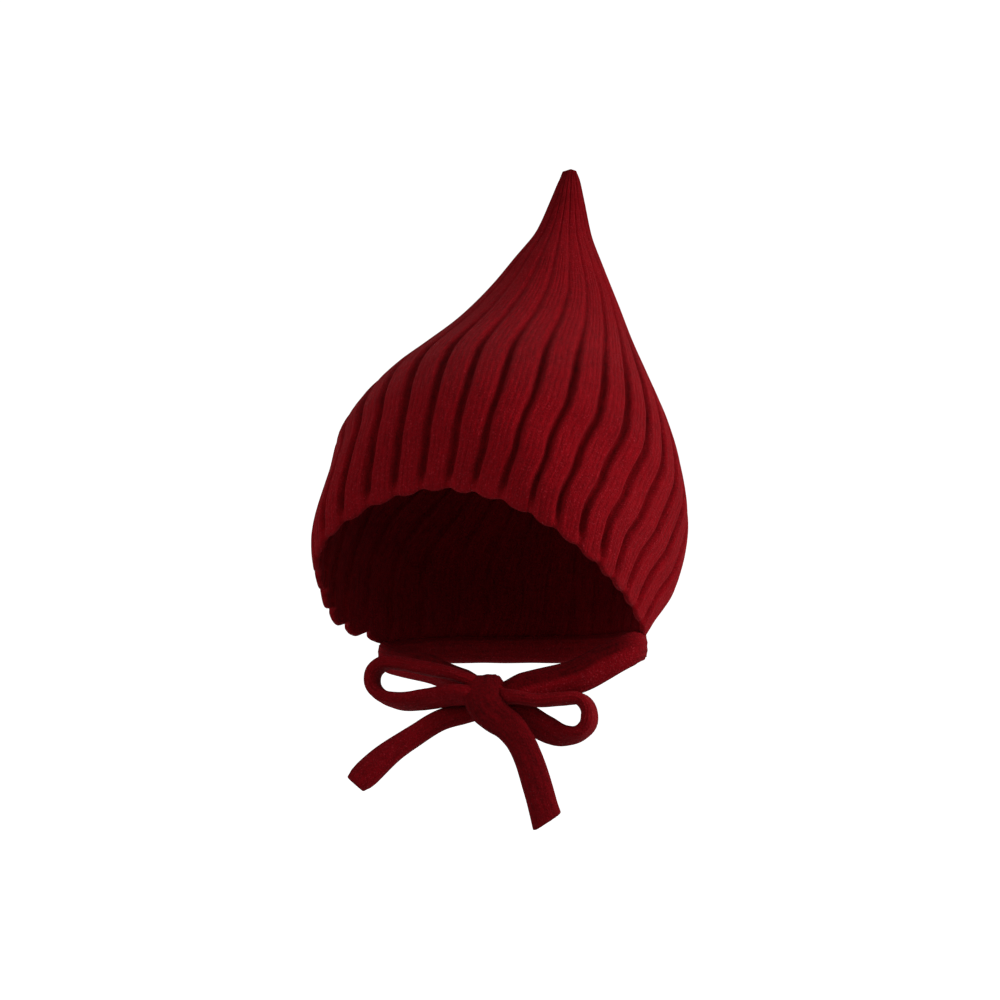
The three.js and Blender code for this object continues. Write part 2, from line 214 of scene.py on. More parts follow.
# Which way a tie's width lies, at shares of its length
UPRIGHT = ((0, (0, 0, 1)),)
TO_FACE = (0.42, -0.9, 0)
HALF_TURNED = (0.1, -0.99, 0.1)
LOW_RIGHT = (0.25, -0.65, 0.5)
LOW_LEFT = (0.1, -0.3, 0.9)
LOOP_RIGHT_WIDE = ((0, TO_FACE), (0.4, HALF_TURNED), (0.56, HALF_TURNED), (0.75, LOW_RIGHT), (1, LOW_RIGHT))
LOOP_LEFT_WIDE = ((0, TO_FACE), (0.35, HALF_TURNED), (0.58, HALF_TURNED), (0.74, LOW_LEFT), (1, LOW_LEFT))
TAIL_RIGHT_WIDE = ((0, (-0.3, 0.3, 0.9)), (1, (-0.4, 0.2, 0.9)))
TAIL_LEFT_WIDE = ((0, (0.95, 0.3, 0.1)), (1, (0.9, 0.4, 0.2)))

# Widths as shares of TIE_WIDTH, at millimetres along a tie
EVEN_WIDTH = ((0, 1),)
NECK_WIDTHS = ((0, 1), (240, 1), (255, 1.15), (309, 1.25))
TAIL_RIGHT_WIDTHS = ((0, 0.8), (30, 0.78), (44, 0.9), (58, 1.0), (61.5, 0.97), (63.7, 0.82))
TAIL_LEFT_WIDTHS = ((0, 1.2), (26, 1.25), (34, 1.05), (43, 0.95), (52, 0.98), (77, 1.08))

# Height of the straps' fold by the distance from the knot, and the painted shade along the left tail
NONE = ((0, 0),)
STRAP_RIDGE = ((0, 1.7), (40, 1.7), (62, 0))
TAIL_PAINTED_SHADE = ((0, 1.3), (26, 1.3), (45, 0.8), (77, 0.4))

# The yarn's patterns: scale, detail and roughness of the noises, and how a stitch's legs lie
STREAKS_PER_WALE = 2.4
STREAKS_PER_ROW = 0.16
STREAK_NOISE = (1.0, 4.0, 0.65)
FUZZ_NOISE = (1500.0, 3.0, 0.7)
HAIR_NOISE = (520.0, 5.0, 0.75)
PATCH_NOISE = (32.0, 3.0, 0.6)
LEG_LEAN = -1.5
LEG_POWER = 0.7
MIDDLE_POWER = 0.6

# How much each pattern counts in the bump's height and in the colour's tone
BUMP_STRENGTH = 0.85
BUMP_DISTANCE = 0.0007
BUMP_WEIGHTS = dict(stitch=0.22, fuzz=0.8, hairs=0.6, streak=0.9)
# In the tone, the stitch pattern leaves painted shade in the crevices between the stitches; the streaks,
# hairs and patches are random tone
TONE_WEIGHTS = dict(stitch=0.1, patches=0.4, streak=0.95, hairs=0.75)
TONE_SHIFT = -0.36
# How far the painted shade that the pieces carry darkens the tone
GROOVE_SHADE = 0.22
RAMP_STOPS = (0.05, 1.0)
FUZZ_HIGHLIGHT_RANGE = {"From Min": 0.58, "From Max": 0.7, "To Min": 0.0, "To Max": 0.75}

# Yarn colours: the bright and the deep end of the tone ramp, and the painted highlight on the loose fibre
# ends
RIB_COLOURS = ((0.3, 0.0015, 0.006), (0.02, 0.0002, 0.0006), (0.5, 0.03, 0.045))
# The ties' yarn is drawn darker than the ribs' yarn, as painted shade
TIE_COLOURS = ((0.24, 0.0012, 0.005), (0.016, 0.0002, 0.0005), (0.4, 0.025, 0.035))

# The photograph's view: 1000 pixels of 0.42 mm at the hat
CAMERA_AZIMUTH = 25.0
CAMERA_ELEVATION = -7.0
CAMERA_ROLL = 0.7
CAMERA_DISTANCE = 1500.0
VIEW_WIDTH = 420.0
PICTURE_MIDDLE = (-5.0, -65.1)
SENSOR = 36.0

# Lights: azimuth and elevation in degrees, distance and size in metres, and watts
LIGHTS = {
    "key": (98, 16, 1.6, 0.8, 19.5),
    "fill": (-35, 20, 2.0, 1.4, 8),
    "back": (200, 12, 2.2, 1.6, 5),
}
LIGHT_DROP = Vector((0, 0, -0.05))
WORLD_LIGHT = 0.32

# The floor and its round wall, and what the camera sees of them, in metres
FLOOR_Z = -0.36
FLOOR_FLAT = 3.0
WALL_BEND = 2.5
WALL_TOP = 8.0
FLOOR_MIDDLE = 0.01
FLOOR_SIDES = 96
BEND_STEPS = 15
FLOOR_GLOW = 0.75
CLIP_NEAR, CLIP_FAR = 0.05, 50


def monotone(xs, ys):
    """A smooth curve through the rows that never overshoots them."""
    xs, ys = np.asarray(xs, float), np.asarray(ys, float)
    step = np.diff(xs)
    slope = np.diff(ys) / step
    before = 2 * step[1:] + step[:-1]
    after = step[1:] + 2 * step[:-1]
    same_way = slope[:-1] * slope[1:] > 0
    safe = np.where(slope == 0, 1, slope)
    inner = np.where(same_way, (before + after) / (before / safe[:-1] + after / safe[1:]), 0)
    tangent = np.concatenate([slope[:1], inner, slope[-1:]])

    def value(x):
        x = np.asarray(x, float)
        i = np.clip(np.searchsorted(xs, x, side="right") - 1, 0, len(step) - 1)
        t = (x - xs[i]) / step[i]
        rise = ys[i + 1] - ys[i]
        bend = (1 - t) * (tangent[i] * step[i] - rise) - t * (tangent[i + 1] * step[i] - rise)
        return ys[i] + t * rise + t * (1 - t) * bend

    return value


def smooth(x, low, high):
    """Rises from 0 at low to 1 at high, level at both."""
    t = np.clip((np.asarray(x, float) - low) / (high - low), 0, 1)
    return t * t * (3 - 2 * t)


def unit(v):
    return v / np.linalg.norm(v, axis=-1, keepdims=True)


RING_AT = {name: monotone(range(TOP_RING + 1), values) for name, values in RINGS.items()}
GROOVE_AT = monotone(*zip(*GROOVE_SHARE))


def both_sides(name, sign):
    """A column of the edge's table for both sides: the wearer's right mirrors the left."""
    values = np.array(EDGE[name], float)
    return np.concatenate([sign * values[:0:-1], values])


EDGE_ANGLES = both_sides("angle", -1)
EDGE_AT = [monotone(EDGE_ANGLES, both_sides(name, sign)) for name, sign in (("x", -1), ("y", 1), ("z", 1))]


def edge_point(angle):
    a = (np.asarray(angle, float) + 180) % 360 - 180
    share = np.clip((-a - CHEEK_FROM) / (CHEEK_TO - CHEEK_FROM), 0, 1)
    return np.stack([f(a) for f in EDGE_AT], -1) + np.sin(math.pi * share)[..., None] ** 2 * CHEEK_HANG


def ring_point(angle, ring):
    at = {name: f(ring) for name, f in RING_AT.items()}
    u = np.radians(angle)
    square = 1 + SQUARENESS * np.sin(2 * u) ** 2 * np.clip(1 - ring / ROUND_FROM_RING, 0, 1)
    c = np.cos(u) * square
    return np.stack([
        at["half_width"] * np.sin(u) * square,
        (at["front_y"] + at["back_y"]) / 2 + (at["front_y"] - at["back_y"]) / 2 * c,
        (at["front_z"] + at["back_z"]) / 2 + (at["front_z"] - at["back_z"]) / 2 * c,
    ], -1)


def ring_angle(rib, ring):
    """Where a rib stands on a ring. A rib goes by its angle on the widest ring, where they are even."""
    return rib + RING_AT["turn"](ring) + np.degrees(RING_AT["spread"](ring) * np.sin(np.radians(rib)))


def find_first_ring(rib):
    """The ring at which a rib reaches the height of the edge, found by halving the stretch it lies in."""
    low, high = np.zeros_like(rib), np.full_like(rib, TOP_RING / 2)
    for _ in range(HALVINGS):
        middle = (low + high) / 2
        angle = ring_angle(rib, middle)
        below = ring_point(angle, middle)[..., 2] < edge_point(angle)[..., 2]
        low, high = np.where(below, middle, low), np.where(below, high, middle)
    return low


RIB_ANGLES = np.linspace(-180, 180, 4 * 360 + 1)
FIRST_RINGS = find_first_ring(RIB_ANGLES)


def first_ring(rib):
    """The first ring of a rib, read off the rings found at every quarter of a degree."""
    return np.interp((rib + 180) % 360 - 180, RIB_ANGLES, FIRST_RINGS)


def form_point(rib, ring):
    """A point of the hat's outer form, up a rib."""
    rib, ring = np.broadcast_arrays(np.asarray(rib, float), np.asarray(ring, float))
    first = first_ring(rib)
    t = np.clip((ring - first) / EDGE_REACH, 0, 1)
    weight = (1 - t) ** 2 * (1 + 2 * t)
    angle = ring_angle(rib, first)
    offset = edge_point(angle) - ring_point(angle, first)
    return ring_point(ring_angle(rib, ring), ring) + offset * weight[..., None]


def form_frame(rib, ring):
    """The outward normal and the way up the rib."""
    degrees, rise = 1.0, 0.02
    across = form_point(rib + degrees, ring) - form_point(rib - degrees, ring)
    above = np.minimum(ring + rise, TOP_RING)
    up = form_point(rib, above) - form_point(rib, above - 2 * rise)
    return unit(np.cross(across, up)), unit(up)


def make_piece(name, points, faces, uvs, groove, nodes, material):
    """A mesh object from millimetre points, riding on the body in place of CAD nodes."""
    mesh = bpy.data.meshes.new(name)
    mesh.from_pydata((np.asarray(points) * MM).tolist(), [], faces)
    layer = mesh.uv_layers.new(name="Knit")
    corners = np.zeros(len(mesh.loops), np.int32)
    mesh.loops.foreach_get("vertex_index", corners)
    layer.data.foreach_set("uv", np.asarray(uvs, np.float32)[corners].ravel())
    # The painted shade of each point, with a painted highlight where it is below 0; the material reads it
    shade = mesh.attributes.new("groove", "FLOAT", "POINT")
    shade.data.foreach_set("value", np.asarray(groove, np.float32))
    mesh.shade_smooth()
    mesh.materials.append(material)
    mesh.update()
    piece = bpy.data.objects.new(name, mesh)
    bpy.context.collection.objects.link(piece)
    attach(piece, "root")
    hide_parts(*nodes)
    return piece


class Sheet:
    """Points in rows, with quads between rows of one length and triangles where a row is half as fine."""

    def __init__(self):
        self.points, self.uvs, self.groove, self.faces, self.count = [], [], [], [], 0

    def row(self, points, uvs, groove):
        """Adds a row of points. The last value is the painted shade there, and a painted highlight where it
        is below 0.
        """
        start = self.count
        self.points.append(points)
        self.uvs.append(uvs)
        self.groove.append(np.broadcast_to(groove, len(points)))
        self.count += len(points)
        return start, len(points)

    def join_all(self, rows):
        for lower, upper in zip(rows, rows[1:]):
            self.join(lower, upper)

    def join(self, lower, upper):
        (a, n), (b, m) = lower, upper
        if n == m:
            self.faces += [(a + i, a + i + 1, b + i + 1, b + i) for i in range(n - 1)]
        elif n > m:
            for j in range(m - 1):
                i = a + 2 * j
                self.faces += [(i, i + 1, b + j), (i + 1, b + j + 1, b + j), (i + 1, i + 2, b + j + 1)]
        else:
            for j in range(n - 1):
                i = b + 2 * j
                self.faces += [(a + j, i + 1, i), (a + j, a + j + 1, i + 1), (a + j + 1, i + 2, i + 1)]

    def fan(self, row, point, uv, groove, flip=False):
        """Closes the row with triangles to one point."""
        start, n = row
        centre, _ = self.row(np.array([point]), np.array([uv]), [groove])
        for i in range(start, start + n - 1):
            self.faces.append((i + 1, i, centre) if flip else (i, i + 1, centre))

    def piece(self, name, slot, nodes, material):
        points, uvs, groove = (np.concatenate(part) for part in (self.points, self.uvs, self.groove))
        return make_piece(name, points, self.faces, uvs, groove, nodes, material)


def rib_profile(phase):
    """How far a groove is cut at this phase of the rib: 0 on the ridge's crown, 1 on the groove's floor."""
    from_groove = np.abs((phase + 0.5) % 1 - 0.5)
    wall = 1 - smooth(from_groove, GROOVE_FLOOR, RIDGE_SHOULDER)
    return (1 - RIDGE_CROWN) * wall + RIDGE_CROWN * (1 - 2 * from_groove) ** 2


RIB_HEIGHT_NOISE = RNG.normal(0, RIB_UNEVENNESS, RIB_COUNT)


def edge_kind(phase, first):
    """How far a place of the edge belongs to the cheek, where the ribs stand proud, and to the neck."""
    angle = (ring_angle((phase + RIB_SHIFT) * PITCH, first) + 180) % 360 - 180
    side = np.where(angle > 0, LEFT_CHEEK, 1)
    return side * smooth(np.abs(angle), *CHEEK_ANGLES), smooth(np.abs(angle), *NECK_ANGLES)


def rib_depths(phase, above, ring, first):
    """Depths of the outer and the inner face below the form, and the painted shade in the groove."""
    rib = np.floor(phase).astype(int) % RIB_COUNT
    cut = rib_profile(phase)
    cheek, neck = edge_kind(phase, first)
    edge_share = FRONT_GROOVE + (CHEEK_GROOVE - FRONT_GROOVE) * cheek * (1 - neck)
    raised = smooth(above, 0, GROOVE_FADE)
    share = GROOVE_AT(ring) * (edge_share + (1 - edge_share) * raised)
    relief = WALE_RELIEF * np.cos(2 * math.pi * WALES_PER_RIB * phase)
    relief = relief + RIB_HEIGHT_NOISE[rib] * np.sin(above / UNEVEN_LENGTH + rib * UNEVEN_SHIFT)
    outer = GROOVE_DEPTH * share * cut
    wall = EDGE_WALL + (INSIDE_RIDGE - EDGE_WALL) * raised
    inner = outer + wall + (GROOVE_WALL - wall) * cut * share
    # Painted shade, deepest on a groove's floor and weaker right at the edge
    shade = share * cut * smooth(above, 1, LIFT_FADE)
    return outer + relief * (1 - cut) * smooth(above, 0, RELIEF_FADE), inner, shade


def edge_lift(phase, above, first):
    """How far up a rib the edge lies: drawn back at the grooves, and tucked into the band at the neck."""
    cheek, neck = edge_kind(phase, first)
    at_groove = (0.5 + 0.5 * np.cos(2 * math.pi * phase)) ** SCALLOP_POWER
    drawn = (SCALLOP + CHEEK_SCALLOP * cheek) * at_groove * (1 - neck) - NECK_TUCK * neck
    return drawn * (1 - smooth(above, 0, LIFT_FADE))


def bonnet_sector(name, first_rib, last_rib, material):
    """A stretch of ribs: outer face, rolled edge and inner face of one wall, cut along two grooves."""
    sheet = Sheet()

    def places(per_rib, share):
        phase = np.linspace(first_rib, last_rib, (last_rib - first_rib) * per_rib + 1)
        rib = (phase + RIB_SHIFT) * PITCH
        first = first_ring(rib)
        ring = first + (TOP_RING - first) * share
        above = (ring - first) * RING_SPACING
        normal, up = form_frame(rib, ring)
        lift = edge_lift(phase, above, first)
        depths = rib_depths(phase, above, ring, first)
        return phase, above, depths, form_point(rib, ring) + up * lift[:, None], normal, up

    def face_row(per_rib, share, outside):
        phase, above, (outer, inner, groove), form, normal, up = places(per_rib, share)
        roll = (inner - outer) / 2 * (1 - smooth(above, 0, EDGE_WALL))
        depth = outer if outside else inner
        points = form - normal * depth[:, None] + up * roll[:, None]
        knit_row = above / ROW_HEIGHT if outside else -2 - above / ROW_HEIGHT
        uvs = np.stack([phase * WALES_PER_RIB, knit_row], -1)
        return sheet.row(points, uvs, groove if outside else INSIDE_SHADE)

    def edge_row(per_rib, turn):
        """turn goes from 0 on the outer face to 1 on the inner face, round the rolled edge."""
        phase, above, (outer, inner, groove), form, normal, up = places(per_rib, 0)
        radius = ((inner - outer) / 2)[:, None]
        centre = form - normal * ((outer + inner) / 2)[:, None] + up * radius
        a = math.pi * turn
        points = centre + (normal * math.cos(a) - up * math.sin(a)) * radius
        uvs = np.stack([phase * WALES_PER_RIB, np.full_like(phase, -turn)], -1)
        # Painted shade round the edge: half the groove's, rising to the inner face's
        return sheet.row(points, uvs, groove / 2 + INSIDE_SHADE * turn)

    rows = [face_row(per_rib, share, False) for per_rib, shares in INNER_ROWS for share in shares]
    rows += [edge_row(FINE, turn) for turn in ROLLED_TURNS]
    rows += [face_row(per_rib, share, True) for per_rib, shares in OUTER_ROWS for share in shares]
    sheet.join_all(rows)
    top = form_point(np.arange(0, 360, PITCH), np.full(RIB_COUNT, float(TOP_RING))).mean(0)
    sheet.fan(rows[-1], top + (0, 0, TIP_RISE), (first_rib * WALES_PER_RIB, 150), 0)
    return sheet.piece(name, "rib_knit", ["bonnet"], material)


def smooth_route(places):
    """The centripetal curve through the chosen places, as points an even step apart."""
    p = np.asarray(places, float)
    p = np.vstack([2 * p[0] - p[1], p, 2 * p[-1] - p[-2]])
    knots = np.concatenate([[0], np.cumsum(np.linalg.norm(np.diff(p, axis=0), axis=1) ** 0.5)])
    fine = []
    for i in range(1, len(p) - 2):
        t = np.linspace(knots[i], knots[i + 1], FINE_STEPS, endpoint=False)[:, None]
        t0, t1, t2, t3 = knots[i - 1:i + 3]
        a1 = ((t1 - t) * p[i - 1] + (t - t0) * p[i]) / (t1 - t0)
        a2 = ((t2 - t) * p[i] + (t - t1) * p[i + 1]) / (t2 - t1)
        a3 = ((t3 - t) * p[i + 1] + (t - t2) * p[i + 2]) / (t3 - t2)
        b1 = ((t2 - t) * a1 + (t - t0) * a2) / (t2 - t0)
        b2 = ((t3 - t) * a2 + (t - t1) * a3) / (t3 - t1)
        fine.append(((t2 - t) * b1 + (t - t1) * b2) / (t2 - t1))
    fine = np.vstack([*fine, p[-2:-1]])
    run = np.concatenate([[0], np.cumsum(np.linalg.norm(np.diff(fine, axis=0), axis=1))])
    even = np.linspace(0, run[-1], int(round(run[-1] / TIE_STEP)) + 1)
    return np.stack([np.interp(even, run, fine[:, k]) for k in range(3)], -1)


def wave(run, seed):
    """A slow unevenness along a tie, between about -1 and 1."""
    return sum(np.sin(run / length + seed * shift) for length, shift in WAVES) / WAVE_SUM


def at_places(rows, run):
    """What a short table of (place, value) rows gives at each place along a tie."""
    places, values = zip(*rows)
    return np.interp(run, places, values)


class Tie:
    """A stretch of flattened knitted tube: rings of points from its start to its end.

    wide lists which way its width lies at shares of its length, and widths how wide it is at places
    along it, as a share of TIE_WIDTH. gathered says which ends the knot pinches, ridge is the height of
    a fold along its outer face by the distance from the nearer end, the next table is the painted shade
    on its yarn at places along it, and slant is how far each cut end leans.
    """

    def __init__(self, places, wide, widths=EVEN_WIDTH, gathered=(False, False), ridge=NONE, painted_shade_rows=NONE,
                 seed=0, slant=(0, 0)):
        self.centre = smooth_route(places)
        self.along = unit(np.gradient(self.centre, axis=0))
        self.run = np.arange(len(self.centre)) * TIE_STEP
        opened = self.how_open(gathered)
        height = at_places(ridge, np.minimum(self.run, self.run[-1] - self.run))[:, None]
        angle = np.linspace(0, 2 * math.pi, TIE_SIDES + 1)
        across, out = (np.sign(f(angle)) * np.abs(f(angle)) ** (2 / TIE_SQUARENESS) for f in (np.cos, np.sin))
        outer_face = out < 0
        half_width = TIE_WIDTH / 2 * (PINCHED_WIDTH + (1 - PINCHED_WIDTH) * opened)
        half_width = half_width * (1 + WIDTH_WAVE * wave(self.run, seed)) * at_places(widths, self.run)
        half_thick = TIE_THICKNESS / 2 * (PINCHED_THICKNESS + (1 - PINCHED_THICKNESS) * opened)
        half_thick = half_thick * (1 + THICKNESS_WAVE * wave(self.run, seed + 3))
        relief = 1 + TIE_RELIEF / TIE_THICKNESS * 2 * np.cos(TIE_WALES * angle)
        crest = np.clip(1 - np.abs(across - CREST_PLACE) / CREST_WIDTH, 0, 1)
        crease = CREASE_DEPTH * np.exp(-(((across - CREASE_PLACE) / CREASE_WIDTH) ** 2))
        x = half_width[:, None] * across * relief
        y = half_thick[:, None] * out * relief - height * (crest - crease) * outer_face * opened[:, None]
        wide, thick = self.cross_axes(wide)
        self.rings = self.centre[:, None] + wide[:, None] * x[..., None] + thick[:, None] * y[..., None]
        self.rings += self.along[:, None] * self.lean(slant, across)[..., None]
        # Painted shade and light: the fold's facets and crest on the outer face, and the table of painted
        # shade along the tie
        folded = np.minimum(height / SHADED_RIDGE, 1) * outer_face
        self.shade = folded * self.facet_shade(across) + at_places(painted_shade_rows, self.run)[:, None]
        self.wales = angle / (2 * math.pi) * TIE_WALES

    def how_open(self, gathered):
        """0 where the knot pinches the tube, 1 where it has its full width."""
        length = self.run[-1]
        from_start = self.run if gathered[0] else np.full_like(self.run, length)
        from_end = length - self.run if gathered[1] else np.full_like(self.run, length)
        return smooth(np.minimum(from_start, from_end), 0, PINCH_REACH)

    def cross_axes(self, wide):
        """The ways that the width and the thickness lie, square to the route."""
        shares, ways = zip(*wide)
        axis = np.stack([np.interp(self.run / self.run[-1], shares, part) for part in zip(*ways)], -1)
        axis = unit(axis - self.along * (axis * self.along).sum(-1, keepdims=True))
        return axis, np.cross(self.along, axis)

    def lean(self, slant, across):
        """How far the points of the first and the last rings are shifted along the tube."""
        length = self.run[-1]
        at_start = 1 - smooth(self.run, 0, SLANT_REACH)
        at_end = smooth(self.run, length - SLANT_REACH, length)
        return (slant[0] * at_start + slant[1] * at_end)[:, None] * across

    @staticmethod
    def facet_shade(across):
        """Painted shade on a fold's upper facet, painted light on its lower facet, and a painted highlight
        along its crest.
        """
        upper = FOLD_SHADE * smooth(across, *UPPER_FACET)
        lower = LOWER_SHINE * smooth(-across, *LOWER_FACET)
        return upper - lower - CREST_SHINE * np.exp(-((across / SHINE_WIDTH) ** 2))

    def ring(self, sheet, k, scale=1.0, push=0.0, shade=None):
        points = self.centre[k] + (self.rings[k] - self.centre[k]) * scale + self.along[k] * push
        rows = np.full(TIE_SIDES + 1, (self.run[k] + push) / ROW_HEIGHT)
        dark = np.maximum(self.shade[k], shade) if shade else self.shade[k]
        return sheet.row(points, np.stack([self.wales, rows], -1), dark)

    def piece(self, name, material, start=0, end=None, open_end=False):
        """The stretch from one ring to another. An open end shows the hollow of the tube."""
        sheet = Sheet()
        end = len(self.run) - 1 if end is None else end
        rows = [self.ring(sheet, k) for k in range(start, end + 1)]
        if open_end:
            rows += [self.ring(sheet, end, *mouth) for mouth in TUBE_MOUTH]
        sheet.join_all(rows)
        sheet.fan(self.ring(sheet, start), self.centre[start], (0, 0), 0, flip=True)
        # The middle of the end cap takes full painted shade, the deep end of an open mouth's hollow
        deep = self.along[end] * (TUBE_MOUTH[-1][1] if open_end else 0)
        last = rows[-1] if open_end else self.ring(sheet, end)
        sheet.fan(last, self.centre[end] + deep, (0, 0), 1)
        return sheet.piece("knitted_" + name, "tie_knit", [name], material)


def band_places():
    """Middle line of the band, from the right corner by the nape to the left corner."""
    angle = np.linspace(360 - CORNER_ANGLE, CORNER_ANGLE, BAND_STEPS + 1)
    along = edge_point(angle + 1) - edge_point(angle - 1)
    outward = unit(np.cross(along, (0, 0, 1)))
    middle = edge_point(angle) - outward * BAND_INSET
    middle[:, 2] += BAND_OVERLAP - TIE_WIDTH / 2
    return middle


def tie_pieces(material):
    """The band with its straps, the bow's loops and the tails."""
    band = band_places()
    places = [*STRAP_RIGHT[::-1], *band, *STRAP_LEFT]
    both = (True, True)
    neck = Tie(places, UPRIGHT, widths=NECK_WIDTHS, gathered=both, ridge=STRAP_RIDGE, seed=1)
    corners = [int(np.argmin(np.linalg.norm(neck.centre - place, axis=1))) for place in (band[0], band[-1])]
    neck.piece("strap_right", material, 0, corners[0])
    neck.piece("neck_band", material, *corners)
    neck.piece("strap_left", material, corners[1])
    Tie(LOOP_RIGHT, LOOP_RIGHT_WIDE, gathered=both, seed=2).piece("bow_loop_right", material)
    Tie(LOOP_LEFT, LOOP_LEFT_WIDE, gathered=both, seed=5).piece("bow_loop_left", material)
    at_knot = (True, False)
    right = Tie(TAIL_RIGHT, TAIL_RIGHT_WIDE, TAIL_RIGHT_WIDTHS, gathered=at_knot, seed=3, slant=(0, 0.4))
    right.piece("tail_right", material, open_end=True)
    left = Tie(TAIL_LEFT, TAIL_LEFT_WIDE, TAIL_LEFT_WIDTHS, painted_shade_rows=TAIL_PAINTED_SHADE, seed=4, slant=(0, -2.0))
    left.piece("tail_left", material, open_end=True)


def knot_piece(material):
    """The lump of the knot behind its wrap, with the folds of the gathered tubes."""
    sheet = Sheet()
    turns = np.linspace(0, 2 * math.pi, KNOT_TURNS)
    rows = []
    for climb in np.linspace(-math.pi / 2, math.pi / 2, KNOT_CLIMBS)[1:-1]:
        level = math.cos(climb)
        heights = np.full(KNOT_TURNS, math.sin(climb))
        ball = np.stack([level * np.cos(turns), level * np.sin(turns), heights], -1)
        folds = 1 + WIDE_FOLD * np.sin(3 * turns + 2.5 * math.sin(2 * climb)) * level
        folds = folds + FINE_FOLD * np.sin(7 * turns + 5 * climb) * level
        uvs = np.stack([turns / (2 * math.pi) * KNOT_WALES, np.full(KNOT_TURNS, climb * KNOT_ROWS)], -1)
        rows.append(sheet.row(KNOT_PLACE + ball * KNOT_HALF * folds[:, None], uvs, KNOT_SHADE))
    sheet.join_all(rows)
    sheet.fan(rows[0], KNOT_PLACE - (0, 0, KNOT_HALF[2]), (0, -9), 0, flip=True)
    sheet.fan(rows[-1], KNOT_PLACE + (0, 0, KNOT_HALF[2]), (0, 9), 0)
    return sheet.piece("knitted_bow_knot", "tie_knit", ["bow_knot"], material)


class Shading:
    """Adds nodes to a material, and links them as they are made."""

    def __init__(self, material):
        material.use_nodes = True
        self.nodes, self.links = material.node_tree.nodes, material.node_tree.links
        self.shader = self.nodes["Principled BSDF"]

    def node(self, kind, **inputs):
        """A new node. An input is set where it is a value, and linked where it is a socket."""
        made = self.nodes.new(kind)
        for key, value in inputs.items():
            self.feed(made.inputs[key], value)
        return made

    def feed(self, socket, value):
        if isinstance(value, bpy.types.NodeSocket):
            self.links.new(value, socket)
        else:
            socket.default_value = value

    def maths(self, operation, *values):
        made = self.nodes.new("ShaderNodeMath")
        made.operation = operation
        for k, value in enumerate(values):
            self.feed(made.inputs[k], value)
        return made.outputs[0]

    def noise(self, vector, scale, detail, roughness):
        made = self.node("ShaderNodeTexNoise", Vector=vector, Scale=scale, Detail=detail, Roughness=roughness)
        return made.outputs["Fac"]

    def weighted(self, weights, patterns, start=0.0):
        """The sum of the named patterns, each times its weight."""
        total = start
        for name, weight in weights.items():
            total = self.maths("MULTIPLY_ADD", patterns[name], weight, total)
        return total

    def stitches(self, uv):
        """A wale is a column of V stitches: each leg leans from the middle up and out."""
        split = self.nodes.new("ShaderNodeSeparateXYZ")
        self.feed(split.inputs[0], uv)
        across, along = split.outputs[0], split.outputs[1]
        from_middle = self.maths("ABSOLUTE", self.maths("SUBTRACT", self.maths("FRACT", across), 0.5))
        climbed = self.maths("MULTIPLY_ADD", from_middle, LEG_LEAN, along)
        leg = self.maths("SINE", self.maths("MULTIPLY", climbed, 2 * math.pi))
        leg_height = self.maths("MULTIPLY_ADD", leg, 0.5, 0.5)
        between = self.maths("SINE", self.maths("MULTIPLY", from_middle, 2 * math.pi))
        legs = self.maths("POWER", leg_height, LEG_POWER)
        return self.maths("MULTIPLY", legs, self.maths("POWER", between, MIDDLE_POWER))

    def streaks(self, uv):
        """Fibres run up the wales in long streaks."""
        stretch = self.nodes.new("ShaderNodeVectorMath")
        stretch.operation = "MULTIPLY"
        stretch.inputs[1].default_value = (STREAKS_PER_WALE, STREAKS_PER_ROW, 1)
        self.feed(stretch.inputs[0], uv)
        return self.noise(stretch.outputs[0], *STREAK_NOISE)


def knit_material(name, bright, dark, fuzz_highlight_colour):
    """Matte crimson yarn: V stitches, streaks and fuzz, with painted shade in the grooves and wherever else
    the pieces carry it, pale painted highlights on the fuzz, and a faint sheen.
    """
    material = bpy.data.materials.new(name)
    shading = Shading(material)
    uv = shading.nodes.new("ShaderNodeUVMap")
    uv.uv_map = "Knit"
    place = shading.nodes.new("ShaderNodeTexCoord").outputs["Object"]
    groove_node = shading.nodes.new("ShaderNodeAttribute")
    groove_node.attribute_name = "groove"
    groove = groove_node.outputs["Fac"]
    patterns = dict(
        stitch=shading.stitches(uv.outputs[0]),
        streak=shading.streaks(uv.outputs[0]),
        fuzz=shading.noise(place, *FUZZ_NOISE),
        hairs=shading.noise(place, *HAIR_NOISE),
        patches=shading.noise(place, *PATCH_NOISE),
    )
    height = shading.weighted(BUMP_WEIGHTS, patterns)
    bump = shading.node("ShaderNodeBump", Strength=BUMP_STRENGTH, Distance=BUMP_DISTANCE, Height=height)

    tone = shading.weighted(TONE_WEIGHTS, patterns, TONE_SHIFT)
    # The painted shade darkens the tone, and lightens it where it is below 0
    tone = shading.maths("MULTIPLY_ADD", groove, -GROOVE_SHADE, tone)
    ramp = shading.node("ShaderNodeValToRGB", Fac=tone)
    for stop, position, colour in zip(ramp.color_ramp.elements, RAMP_STOPS, (dark, bright)):
        stop.position = position
        stop.color = (*colour, 1)

    # Painted highlights: loose fibre ends stand out as pale specks, fewer of them where the painted shade
    # lies down in the grooves, more on the painted crest highlight
    fuzz_highlight = shading.node("ShaderNodeMapRange", Value=patterns["fuzz"], **FUZZ_HIGHLIGHT_RANGE).outputs[0]
    shown = shading.maths("MULTIPLY", fuzz_highlight, shading.maths("SUBTRACT", 1.0, groove))
    colour = shading.nodes.new("ShaderNodeMix")
    colour.data_type = "RGBA"
    for socket, value in (("Factor", shown), ("A", ramp.outputs[0]), ("B", (*fuzz_highlight_colour, 1))):
        shading.feed(colour.inputs[socket], value)

    finish = {
        "Base Color": colour.outputs["Result"],
        "Normal": bump.outputs["Normal"],
        "Roughness": 0.95,
        "Specular IOR Level": 0.04,
        "Sheen Weight": 0.04,
        "Sheen Roughness": 0.5,
        "Sheen Tint": (1.0, 0.12, 0.16, 1),
    }
    for socket, value in finish.items():
        shading.feed(shading.shader.inputs[socket], value)
    return material


